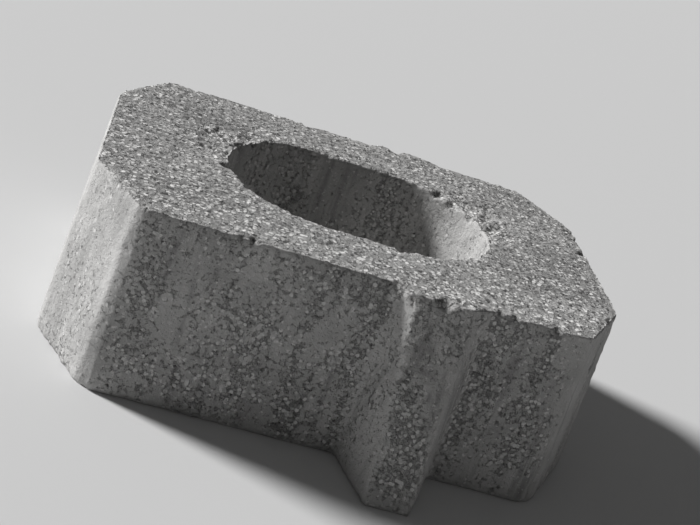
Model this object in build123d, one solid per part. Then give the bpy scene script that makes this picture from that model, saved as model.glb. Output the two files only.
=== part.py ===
"""Perforated concrete armour block for a sea dike.

One flat, long-octagonal block, cast in one piece of plain concrete, with one long round-ended
opening right through it and a spacer nose on each long side, towards one end.

Own frame: millimetres, +Z up. The origin is the middle of the flat underside, X runs along the
block, and Y runs across it. Both noses stand on the +X half.
"""
import os
from math import cos, radians, tan

from build123d import *

# The body, as its top face measures
block_length = 2000.0
block_width = 1400.0
block_height = 700.0
end_edge_width = 780.0
end_chamfer_run = 185.0
corner_flat = 40.0

# Side walls lean out towards the underside, so that the mould lifts off upwards
wall_draft = 4.0

# The opening, as it measures at the top face; its core narrows downwards and lifts out
opening_length = 1060.0
opening_width = 770.0
core_draft = 2.5

# The spacer noses: wedges that start near the top edge and lean out to their full reach at the base
nose_offset = 260.0
nose_root_width = 360.0
nose_top_reach = 40.0
nose_top_width = 210.0
nose_foot_reach = 270.0
nose_foot_width = 170.0

cut_margin = 10.0


def octagon_corners():
    """The eight corners of the top face, in order round it, before the small corner flats."""
    half_length = block_length / 2
    half_width = block_width / 2
    half_end = end_edge_width / 2
    shoulder = half_length - end_chamfer_run
    quarter = [(half_length, half_end), (shoulder, half_width)]
    near_left = [(-x, y) for x, y in reversed(quarter)]
    below = [(-x, -y) for x, y in quarter]
    near_right = [(x, -y) for x, y in reversed(quarter)]
    return quarter + near_left + below + near_right


def body():
    """The octagonal body, without its opening and noses."""
    top = Plane.XY.offset(block_height)
    plan = make_face(Polyline(octagon_corners(), close=True))
    rows = plan.vertices().group_by(Axis.Y)
    shoulders = rows[0] + rows[-1]
    # A flat across a corner is as wide as asked when its two sides are cut back by this much
    turn = Vector(end_chamfer_run, (block_width - end_edge_width) / 2).get_angle(Vector(1, 0))
    cut_back = corner_flat / 2 / cos(radians(turn / 2))
    plan = chamfer(shoulders, cut_back)
    return extrude(top * plan, amount=-block_height, taper=-wall_draft)


def opening():
    """The core of the opening: a long hole with round ends, right through the body."""
    plan = SlotOverall(opening_length + 2 * cut_margin * tan(radians(core_draft)),
                       opening_width + 2 * cut_margin * tan(radians(core_draft)))
    top = Plane.XY.offset(block_height + cut_margin)
    return extrude(top * plan, amount=-block_height - 2 * cut_margin, taper=core_draft)


def nose_plan(level, root_y, reach, tip_width):
    """The trapezoid of a nose at one level, from inside the body out to its tip."""
    seat_y = (opening_width + block_width) / 4
    half_root = nose_root_width / 2
    half_tip = tip_width / 2
    corners = [
        (nose_offset - half_root, seat_y),
        (nose_offset - half_root, root_y),
        (nose_offset - half_tip, root_y + reach),
        (nose_offset + half_tip, root_y + reach),
        (nose_offset + half_root, root_y),
        (nose_offset + half_root, seat_y),
    ]
    return Plane.XY.offset(level) * make_face(Polyline(corners, close=True))


def nose():
    """One spacer nose, on the +Y side: a wedge whose front leans out from the top edge to the base."""
    wall_top_y = block_width / 2
    wall_foot_y = wall_top_y + block_height * tan(radians(wall_draft))
    foot = nose_plan(0, wall_foot_y, nose_foot_reach, nose_foot_width)
    top = nose_plan(block_height, wall_top_y, nose_top_reach, nose_top_width)
    return loft([foot, top], ruled=True)


def block():
    """The whole block, cast in one piece."""
    far_nose = nose()
    near_nose = mirror(far_nose, about=Plane.XZ)
    return body() + far_nose + near_nose - opening()


os.makedirs("parts", exist_ok=True)
armour_block = block()
armour_block.label = "block"
export_step(armour_block, "parts/block.step")
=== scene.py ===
"""Looks of a perforated concrete armour block: weathered cast concrete with a rough top face.

Metres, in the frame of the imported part: +Z up, X along the block, and the origin in the middle of
the underside. The part's own solid is copied as an even mesh, and wear is then worked into it,
always inwards, so that it stays inside the part.
"""
import math

import bmesh
import bpy
import numpy as np
from mathutils import Matrix, Vector, kdtree, noise


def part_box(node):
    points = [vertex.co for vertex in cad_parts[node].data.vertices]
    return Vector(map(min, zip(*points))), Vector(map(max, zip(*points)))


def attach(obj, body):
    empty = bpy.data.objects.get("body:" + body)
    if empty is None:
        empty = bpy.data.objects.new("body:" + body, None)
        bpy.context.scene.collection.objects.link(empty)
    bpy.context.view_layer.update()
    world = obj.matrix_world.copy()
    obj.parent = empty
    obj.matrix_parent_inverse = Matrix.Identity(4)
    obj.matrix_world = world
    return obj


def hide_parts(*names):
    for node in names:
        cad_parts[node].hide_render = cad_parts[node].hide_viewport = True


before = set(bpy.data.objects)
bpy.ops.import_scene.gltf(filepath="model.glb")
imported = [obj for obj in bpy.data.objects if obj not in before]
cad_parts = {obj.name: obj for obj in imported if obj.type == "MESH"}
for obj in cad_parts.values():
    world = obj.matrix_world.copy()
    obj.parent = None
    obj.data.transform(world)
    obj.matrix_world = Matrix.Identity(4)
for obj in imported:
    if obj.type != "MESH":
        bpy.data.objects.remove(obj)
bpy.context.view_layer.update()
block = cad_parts["block"]
low, high = (Vector(corner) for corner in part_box("block"))

SEED = 41

# The even mesh, and the outer edges of the part that count as arrises
VOXEL = 0.0142
SHARP_ANGLE = math.radians(30)
ARRIS_STEP = 0.010

# Everything goes at least this far in, then the relief of the struck top and of the moulded faces
SKIN = 0.0006
TOP_RELIEF = 0.011
TOP_HOLLOW_SIZE = 0.16
TOP_STONE_SIZE = 0.024
SIDE_RELIEF = 0.0045
SIDE_RELIEF_SIZE = 0.045

# Worn arrises
ARRIS_WEAR = 0.010
WEAR_REACH = 0.026
WEAR_CHANGES_OVER = 0.09
GRIT_SIZE = 0.030
ARRIS_BAND = 0.06

# The top is rough and the rim of the opening broken over a stretch at each of its ends
BROKEN_RIMS = (Vector((-0.50, 0.14, high.z)), Vector((0.50, 0.16, high.z)))
BROKEN_REACH = 0.24
BROKEN_RELIEF = 0.016
BROKEN_STONE_SIZE = 0.045
BROKEN_FAVOUR = 6.0

# Pieces broken off: most from the top arrises, few from the upright ones, none at the base
CHIP_COUNT = 170
CHIP_REACH = (0.022, 0.085)
CHIP_DEPTH_SHARE = 0.17
CHIP_TURN = 0.30
CHIP_GRAIN = 0.004
UPRIGHT_FAVOUR = 0.12

# Air holes left in the moulded faces
HOLE_COUNT = 160
HOLE_REACH = (0.010, 0.019)
HOLE_DEPTH = 0.006

# Greys of the concrete, as the share of the light that they give back; they are a trace warm.
# A pair is the darkest and the palest, or, for pale stones, those in moulded and in struck faces.
WARMTH = 0.01
SKIN_GREYS = (0.33, 0.50)
# painted light: a paler grey for the ends, the diagonals and the ends of the opening, as on faces the light
# falls on
LIT_FACE_PAINTED_GREY = 0.57
DARK_RUN_GREY = 0.17
PALE_RUN_GREY = 0.60
STRUCK_PASTE_GREYS = (0.16, 0.43)
WORN_PASTE_GREY = 0.13
SAND_GREYS = (0.04, 0.50)
STONE_GREYS = (0.04, 0.66)
PALE_STONE_GREYS = (0.64, 0.76)
STROKE_GREY = 0.09
# partly dust and rubbed paste, partly a painted highlight along the arrises
DUST_AND_EDGE_HIGHLIGHT_GREY = 0.50

# Grain of the concrete, in cells to the metre, and the height of its finest relief
STONES_PER_METRE = 66.0
SAND_PER_METRE = 190.0
PORES_PER_METRE = 70.0
BUMP_HEIGHT = 0.005


def smoothstep(x, start, end):
    """0 before start and 1 after end, with a smooth rise between; start may be the larger."""
    t = np.clip((x - start) / (end - start), 0.0, 1.0)
    return t * t * (3 - 2 * t)


def noise_at(points, size, offset, octaves=3):
    """Smooth noise, about -1 to 1, at each point; size is that of its largest features."""
    shift = Vector((offset, -offset, 2 * offset))
    return np.array([noise.fractal(Vector(p) / size + shift, 1.0, 2.0, octaves) for p in points])


def share(values):
    """Noise of about -1 to 1 as a share from 0 to 1."""
    return np.clip(0.5 + 0.5 * values, 0, 1)


def outer_arrises(mesh):
    """Points along the sharp outer edges of the part, each with the outward bisector of its faces."""
    bm = bmesh.new()
    bm.from_mesh(mesh)
    bmesh.ops.remove_doubles(bm, verts=bm.verts, dist=1e-5)
    points = []
    for edge in bm.edges:
        if edge.calc_face_angle_signed(0.0) < SHARP_ANGLE:
            continue
        outward = (edge.link_faces[0].normal + edge.link_faces[1].normal).normalized()
        a, b = (v.co for v in edge.verts)
        count = max(1, round((b - a).length / ARRIS_STEP))
        points += [(a.lerp(b, (i + 0.5) / count), outward) for i in range(count)]
    bm.free()
    return points


def even_copy(source, name):
    """A new object with the part's outline as an even mesh, twice as fine on its top face."""
    cast = bpy.data.objects.new(name, source.data.copy())
    bpy.context.collection.objects.link(cast)
    remesh = cast.modifiers.new("even", "REMESH")
    remesh.mode = "VOXEL"
    remesh.voxel_size = VOXEL
    mesh = bpy.data.meshes.new_from_object(cast.evaluated_get(bpy.context.evaluated_depsgraph_get()))
    cast.modifiers.clear()
    cast.data = mesh
    bm = bmesh.new()
    bm.from_mesh(mesh)
    top_edges = set()
    for face in bm.faces:
        if face.normal.z > 0.9 and face.calc_center_median().z > high.z - VOXEL:
            top_edges.update(face.edges)
    bmesh.ops.subdivide_edges(bm, edges=list(top_edges), cuts=1, use_grid_fill=True)
    bm.to_mesh(mesh)
    bm.free()
    return cast


class Surface:
    """The points of the mesh while wear is worked into them."""

    def __init__(self, mesh, arrises):
        self.mesh = mesh
        self.arrises = arrises
        self.place = self.read("co")
        self.normal = self.read("normal")
        tree = kdtree.KDTree(len(arrises))
        for i, (point, _) in enumerate(arrises):
            tree.insert(point, i)
        tree.balance()
        nearest = [tree.find(p) for p in self.place]
        self.to_arris = np.array([distance for _, _, distance in nearest])
        self.bisector = np.array([arrises[i][1] for _, i, _ in nearest])
        near_top = self.place[:, 2] > high.z - 2 * VOXEL
        self.top = smoothstep(self.normal[:, 2], 0.6, 0.95) * near_top
        self.side = 1 - np.maximum(self.top, smoothstep(-self.normal[:, 2], 0.6, 0.95))
        self.long_side = self.side * smoothstep(np.abs(self.normal[:, 1]), 0.75, 0.95)
        self.broken = np.zeros(len(self.place))
        self.fresh = np.zeros(len(self.place))

    def read(self, name):
        values = np.empty(len(self.mesh.vertices) * 3)
        self.mesh.vertices.foreach_get(name, values)
        return values.reshape(-1, 3)

    def roughen(self):
        """Stones stand proud of the top, which was only struck off; the mould left the sides smoother."""
        hollows = share(noise_at(self.place, TOP_HOLLOW_SIZE, 1.0))
        stones = share(noise_at(self.place, TOP_STONE_SIZE, 2.0))
        sink = self.top * TOP_RELIEF * (0.35 * hollows + 0.65 * stones)
        away = np.min([np.linalg.norm(self.place - np.array(spot), axis=1) for spot in BROKEN_RIMS], axis=0)
        away += 0.07 * noise_at(self.place, 0.10, 7.0)
        self.broken = self.top * smoothstep(away, BROKEN_REACH, 0.4 * BROKEN_REACH)
        lumps = np.clip(0.5 + 0.9 * noise_at(self.place, BROKEN_STONE_SIZE, 8.0), 0, 1)
        sink += self.broken * BROKEN_RELIEF * lumps
        sink += self.side * SIDE_RELIEF * share(noise_at(self.place, SIDE_RELIEF_SIZE, 3.0, 4))
        self.place -= self.normal * (SKIN + sink)[:, None]

    def wear_arrises(self):
        """Takes the sharpness off the arrises, more in some stretches than in others."""
        wear = 0.25 + 0.75 * smoothstep(noise_at(self.place, WEAR_CHANGES_OVER, 4.0), -0.5, 0.7)
        grit = 0.75 + 0.9 * noise_at(self.place, GRIT_SIZE, 5.0)
        fall = np.clip(1 - self.to_arris / WEAR_REACH, 0, 1) ** 2
        self.place -= self.bisector * (ARRIS_WEAR * wear * grit * fall)[:, None]

    def chip_chances(self):
        """How likely each point of the arrises is to have lost a piece."""
        chances = []
        for point, _ in self.arrises:
            chance = 0.0
            if point.z > 0.9 * high.z:
                chance = 1.0
            elif point.z > 0.1 * high.z:
                chance = UPRIGHT_FAVOUR
            if min((point - spot).length for spot in BROKEN_RIMS) < BROKEN_REACH:
                chance *= BROKEN_FAVOUR
            chances.append(chance)
        return np.array(chances) / sum(chances)

    def chip_arrises(self, rng):
        """Cuts a small uneven facet across the arris at each chip."""
        grain = CHIP_GRAIN * noise_at(self.place, GRIT_SIZE, 6.0)
        for pick in rng.choice(len(self.arrises), CHIP_COUNT, replace=False, p=self.chip_chances()):
            centre, outward = (np.array(v) for v in self.arrises[pick])
            reach = CHIP_REACH[0] + (CHIP_REACH[1] - CHIP_REACH[0]) * rng.random() ** 3
            depth = CHIP_DEPTH_SHARE * reach * rng.uniform(0.5, 1.0)
            facing = outward + rng.normal(0, CHIP_TURN, 3)
            facing /= np.linalg.norm(facing)
            offset = self.place - centre
            inside = np.clip(1 - np.linalg.norm(offset, axis=1) / reach, 0, 1)
            above = np.clip(offset @ facing + depth + grain, 0, None)
            cut = above * smoothstep(inside, 0.0, 0.25)
            self.place -= facing * cut[:, None]
            self.fresh = np.maximum(self.fresh, smoothstep(cut, 0.001, 0.006))

    def air_holes(self, rng):
        """Shallow round pits on the moulded faces, clear of the arrises."""
        candidates = np.flatnonzero((self.side > 0.95) & (self.to_arris > 0.03))
        for i in rng.choice(candidates, HOLE_COUNT, replace=False):
            reach = rng.uniform(*HOLE_REACH)
            apart = np.linalg.norm(self.place - self.place[i], axis=1)
            near = apart < reach
            depth = HOLE_DEPTH * (1 - (apart[near] / reach) ** 2)
            self.place[near] -= self.normal[near] * depth[:, None]

    def write(self):
        """Puts the points back, with what the material needs to know about them."""
        self.place = np.clip(self.place, np.array(low), np.array(high))
        self.mesh.vertices.foreach_set("co", self.place.ravel())
        arris = np.clip(1 - self.to_arris / ARRIS_BAND, 0, 1)
        for name, values in (("top", self.top), ("long_side", self.long_side), ("arris", arris),
                             ("broken", self.broken), ("fresh", self.fresh)):
            layer = self.mesh.attributes.new(name, "FLOAT", "POINT")
            layer.data.foreach_set("value", values.astype(np.float32))
        self.mesh.shade_smooth()
        self.mesh.update()


class Graph:
    """Short ways to add and link the nodes of one material. Noise scales are in features per metre."""

    def __init__(self, name):
        self.material = bpy.data.materials.new(name)
        self.material.use_nodes = True
        self.tree = self.material.node_tree
        self.shader = self.tree.nodes["Principled BSDF"]

    def node(self, kind, **settings):
        made = self.tree.nodes.new(kind)
        for key, value in settings.items():
            setattr(made, key, value)
        return made

    def put(self, value, socket):
        """Links an output to a socket, or sets a plain value on it."""
        if isinstance(value, bpy.types.NodeSocket):
            self.tree.links.new(value, socket)
        else:
            socket.default_value = value

    def texture(self, kind, where, **values):
        """A texture node of that kind at a place, with its inputs set by name."""
        made = self.node(kind)
        self.put(where, made.inputs["Vector"])
        for name, value in values.items():
            self.put(value, made.inputs[name])
        return made

    def noise(self, where, scale, detail=4.0, roughness=0.55):
        made = self.texture("ShaderNodeTexNoise", where, Scale=scale, Detail=detail, Roughness=roughness)
        return made.outputs["Fac"]

    def streaks(self, where, scales, detail, roughness):
        """Noise with a scale for each axis, drawn out along those with the smaller scales."""
        mapping = self.node("ShaderNodeMapping")
        self.put(where, mapping.inputs["Vector"])
        self.put(scales, mapping.inputs["Scale"])
        return self.noise(mapping.outputs["Vector"], 1.0, detail, roughness)

    def ramp(self, value, start, end, low_out=0.0, high_out=1.0):
        """A smooth rise from low_out at start to high_out at end; start may be the larger."""
        made = self.node("ShaderNodeMapRange", interpolation_type="SMOOTHSTEP")
        for name, v in (("Value", value), ("From Min", start), ("From Max", end), ("To Min", low_out),
                        ("To Max", high_out)):
            self.put(v, made.inputs[name])
        return made.outputs["Result"]

    def math(self, operation, *values):
        made = self.node("ShaderNodeMath", operation=operation)
        for value, socket in zip(values, made.inputs):
            self.put(value, socket)
        return made.outputs[0]

    def total(self, *parts):
        """The sum of (value, weight) pairs."""
        added = 0.0
        for value, weight in parts:
            added = self.math("MULTIPLY_ADD", value, weight, added)
        return added

    def mix(self, factor, a, b):
        made = self.node("ShaderNodeMix", data_type="RGBA")
        self.put(factor, made.inputs[0])
        self.put(a, made.inputs[6])
        self.put(b, made.inputs[7])
        return made.outputs[2]

    def shaken(self, where, scale, amount):
        """The place moved a little by noise, so that cells lose their straight sides."""
        wobble = self.texture("ShaderNodeTexNoise", where, Scale=scale)
        moved = self.node("ShaderNodeVectorMath", operation="MULTIPLY_ADD")
        self.put(wobble.outputs["Color"], moved.inputs[0])
        self.put((amount, amount, amount), moved.inputs[1])
        self.put(where, moved.inputs[2])
        return moved.outputs[0]

    def chances(self, cells):
        """Three unrelated chances for each cell of a cell texture: the channels of its colour."""
        made = self.node("ShaderNodeSeparateColor")
        self.put(cells.outputs["Color"], made.inputs[0])
        return made.outputs

    def attribute(self, name):
        return self.node("ShaderNodeAttribute", attribute_name=name).outputs["Fac"]


def grey(value, warmth=WARMTH):
    """A grey of that linear reflectance."""
    return (value * (1 + warmth), value, value * (1 - 1.6 * warmth), 1.0)


def moulded_skin(g, where):
    """Cement skin of the moulded faces, with broad clouds and streaks that run down them, and painted light
    that makes the ends and diagonals paler.
    """
    clouds = g.ramp(g.noise(where, 3.2, 5.0, 0.6), 0.3, 0.7)
    skin = g.mix(clouds, grey(SKIN_GREYS[0]), grey(SKIN_GREYS[1]))
    dark_runs = g.ramp(g.streaks(where, (16.0, 16.0, 1.1), 4.0, 0.65), 0.48, 0.70, 0.0, 0.6)
    skin = g.mix(dark_runs, skin, grey(DARK_RUN_GREY))
    pale_runs = g.ramp(g.streaks(where, (11.0, 11.0, 0.8), 3.0, 0.6), 0.56, 0.74, 0.0, 0.55)
    skin = g.mix(pale_runs, skin, grey(PALE_RUN_GREY))
    # The ends, the diagonals and the ends of the opening are painted paler than the long sides: painted
    # light, as on the faces that the key light falls on
    painted_light = g.ramp(g.attribute("long_side"), 0.0, 1.0, 0.2, 0.0)
    return g.mix(painted_light, skin, grey(LIT_FACE_PAINTED_GREY))


def skin_wear(g, where):
    """Wear of the skin: in small spots, gathered in upright bands and patches, most on the long sides."""
    bands = g.ramp(g.streaks(where, (5.5, 5.5, 0.35), 3.0, 0.6), 0.40, 0.62)
    patches = g.ramp(g.noise(where, 6.0, 4.0, 0.6), 0.35, 0.65)
    return g.total((g.noise(where, 52.0, 6.0, 0.78), 1.0), (bands, 0.10), (patches, 0.07),
                   (g.attribute("long_side"), 0.07))


def sanded_paste(g, where, struck, skin):
    """Cement paste with coarse sand in it, drawn out along the block where it was struck."""
    drawn = g.ramp(g.streaks(where, (1.2, 5.0, 2.5), 7.0, 0.7), 0.30, 0.70)
    struck_paste = g.mix(drawn, grey(STRUCK_PASTE_GREYS[0]), grey(STRUCK_PASTE_GREYS[1]))
    worn_paste = g.mix(0.35, skin, grey(WORN_PASTE_GREY))
    sand = g.texture("ShaderNodeTexVoronoi", where, Scale=SAND_PER_METRE)
    sand_grey = g.mix(g.ramp(g.chances(sand)[0], 0.1, 0.9), grey(SAND_GREYS[0]), grey(SAND_GREYS[1]))
    return g.mix(0.45, g.mix(struck, worn_paste, struck_paste), sand_grey)


def pale_share(g, where, struck, lightness):
    """Which stones are pale: more on the moulded faces than on the top, where they gather towards the -Y
    edge; at the broken rims, extra pale stones are a painted highlight of sunlit lumps."""
    across = g.node("ShaderNodeSeparateXYZ")
    g.put(where, across.inputs["Vector"])
    edge = g.total((across.outputs["Y"], 1.0), (g.noise(where, 4.0, 4.0, 0.6), 0.5))
    rubbed = g.math("MULTIPLY", struck, g.ramp(edge, -0.10, -0.40))
    # painted highlight: the broken rims get more pale stones, standing in for the sunlit faces of their
    # lumps
    return g.ramp(g.total((lightness, 1.0), (struck, -0.24), (rubbed, 0.22), (g.attribute("broken"), 0.28)),
                  0.48, 0.60)


def fine_relief(g, where, exposed, shown, stand):
    """Relief too fine for the mesh: pores and grit in the skin, and stones standing out of the paste."""
    grit = g.noise(where, 260.0, 3.0, 0.7)
    pores = g.texture("ShaderNodeTexVoronoi", where, Scale=PORES_PER_METRE)
    pore = g.ramp(pores.outputs["Distance"], 0.10, 0.20)
    skin_height = g.total((grit, 0.4), (pore, 0.5), (g.noise(where, 60.0, 4.0, 0.65), 1.2))
    pebble = g.math("MULTIPLY", shown, g.ramp(stand, 0.2, 1.0, 0.3, 1.0))
    open_height = g.total((grit, 0.5), (pebble, 3.0))
    height = g.node("ShaderNodeMix", data_type="FLOAT")
    for value, socket in zip((exposed, skin_height, open_height), (0, 2, 3)):
        g.put(value, height.inputs[socket])
    bump = g.node("ShaderNodeBump")
    g.put(0.9, bump.inputs["Strength"])
    g.put(BUMP_HEIGHT, bump.inputs["Distance"])
    g.put(height.outputs[0], bump.inputs["Height"])
    return bump.outputs["Normal"]


def concrete():
    g = Graph("weathered_concrete")
    where = g.node("ShaderNodeTexCoord").outputs["Object"]
    struck = g.math("MAXIMUM", g.attribute("top"), g.attribute("fresh"))
    skin = moulded_skin(g, where)
    wear = skin_wear(g, where)
    exposed = g.math("MAXIMUM", struck, g.ramp(wear, 0.64, 0.80))

    # Stones of mixed sizes and greys show where the skin is off, and pale ones also through the skin
    stones = g.texture("ShaderNodeTexVoronoi", g.shaken(where, 120.0, 0.009), Scale=STONES_PER_METRE)
    shade, lightness, stand = (g.chances(stones)[i] for i in range(3))
    shown = g.ramp(g.total((stones.outputs["Distance"], 1.0), (stand, 0.24)), 0.65, 0.51)
    stone_grey = g.mix(g.ramp(shade, 0.1, 0.95), grey(STONE_GREYS[0]), grey(STONE_GREYS[1]))
    open_face = g.mix(g.math("MULTIPLY", shown, 0.85), sanded_paste(g, where, struck, skin), stone_grey)
    colour = g.mix(exposed, skin, open_face)
    pale = g.math("MULTIPLY", shown, pale_share(g, where, struck, lightness))
    through = g.math("MAXIMUM", struck, g.ramp(wear, 0.58, 0.68))
    pale_grey = g.mix(struck, grey(PALE_STONE_GREYS[0]), grey(PALE_STONE_GREYS[1]))
    colour = g.mix(g.math("MULTIPLY", pale, through), colour, pale_grey)

    # Dark strokes along the block on the struck top, and a pale band along the arrises that is partly dust
    # and rubbed paste and partly a painted highlight of lit edges
    strokes = g.ramp(g.streaks(where, (4.5, 30.0, 10.0), 5.0, 0.65), 0.42, 0.66, 0.0, 0.38)
    colour = g.mix(g.math("MULTIPLY", struck, strokes), colour, grey(STROKE_GREY))
    dust_and_edge_highlight = g.math("MULTIPLY", g.ramp(g.attribute("arris"), 0.35, 0.9, 0.0, 0.5),
                   g.ramp(g.noise(where, 16.0, 3.0), 0.4, 0.65))
    colour = g.mix(dust_and_edge_highlight, colour, grey(DUST_AND_EDGE_HIGHLIGHT_GREY))

    g.put(colour, g.shader.inputs["Base Color"])
    g.put(g.ramp(g.noise(where, 30.0, 3.0), 0.3, 0.7, 0.78, 0.95), g.shader.inputs["Roughness"])
    g.put(0.25, g.shader.inputs["Specular IOR Level"])
    g.put(fine_relief(g, where, exposed, shown, stand), g.shader.inputs["Normal"])
    return g.material


def plain(name, value):
    g = Graph(name)
    g.put(grey(value, 0.0), g.shader.inputs["Base Color"])
    g.put(0.9, g.shader.inputs["Roughness"])
    return g.material


cast = even_copy(block, "block_cast")
surface = Surface(cast.data, outer_arrises(block.data))
rng = np.random.default_rng(SEED)
surface.roughen()
surface.wear_arrises()
surface.chip_arrises(rng)
surface.air_holes(rng)
surface.write()
cast.data.materials.clear()
cast.data.materials.append(concrete())
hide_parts("block")
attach(cast, "root")

# A plain pale floor
FLOOR_SIZE = 60.0
FLOOR_GREY = 0.60
bpy.ops.mesh.primitive_plane_add(size=FLOOR_SIZE)
floor = bpy.context.object
floor.name = "floor"
floor.data.materials.append(plain("pale_floor", FLOOR_GREY))

# The photograph's viewpoint, as it lies to the block. There the block lies on a slope, so here,
# where it lies level, the camera is rolled instead.
STAND = Vector((-0.912, -4.471, high.z + 1.605))
AIM = Vector((0.05, 0.0, 0.42))
RIGHTWARDS = Vector((0.9393, -0.0686, 0.3361))
LENS = 64.0
camera = bpy.data.objects.new("camera", bpy.data.cameras.new("camera"))
bpy.context.collection.objects.link(camera)
camera.data.sensor_width = 36
camera.data.lens = LENS
towards = (AIM - STAND).normalized()
right = (RIGHTWARDS - towards * RIGHTWARDS.dot(towards)).normalized()
upwards = right.cross(towards)
camera.matrix_world = Matrix.Translation(STAND) @ Matrix((right, upwards, -towards)).transposed().to_4x4()
bpy.context.scene.camera = camera

# Soft light from the left and a little behind, as low as in the photograph, and an even fill
KEY_TRAVEL = Vector((0.79, -0.35, -0.50))
KEY_STRENGTH = 5.4
KEY_SOFTNESS = math.radians(11)
FILL_STRENGTH = 0.08
BACKDROP_STRENGTH = 0.58
key = bpy.data.objects.new("key", bpy.data.lights.new("key", "SUN"))
bpy.context.collection.objects.link(key)
key.data.energy = KEY_STRENGTH
key.data.angle = KEY_SOFTNESS
key.rotation_euler = KEY_TRAVEL.to_track_quat("-Z", "Y").to_euler()
world = bpy.data.worlds.new("studio")
world.use_nodes = True
background = world.node_tree.nodes["Background"]
background.inputs["Color"].default_value = (1, 1, 1, 1)
# What is seen behind the floor, also by way of a reflection, is as pale as the floor
nodes, links = world.node_tree.nodes, world.node_tree.links
light_path = nodes.new("ShaderNodeLightPath")
seen = light_path.outputs["Is Camera Ray"]
for ray in ("Is Glossy Ray", "Is Transmission Ray"):
    either = nodes.new("ShaderNodeMath")
    either.operation = "MAXIMUM"
    links.new(seen, either.inputs[0])
    links.new(light_path.outputs[ray], either.inputs[1])
    seen = either.outputs[0]
strength = nodes.new("ShaderNodeMapRange")
strength.inputs["To Min"].default_value = FILL_STRENGTH
strength.inputs["To Max"].default_value = BACKDROP_STRENGTH
links.new(seen, strength.inputs["Value"])
links.new(strength.outputs["Result"], background.inputs["Strength"])
bpy.context.scene.world = world
bpy.context.scene.view_settings.view_transform = "Standard"
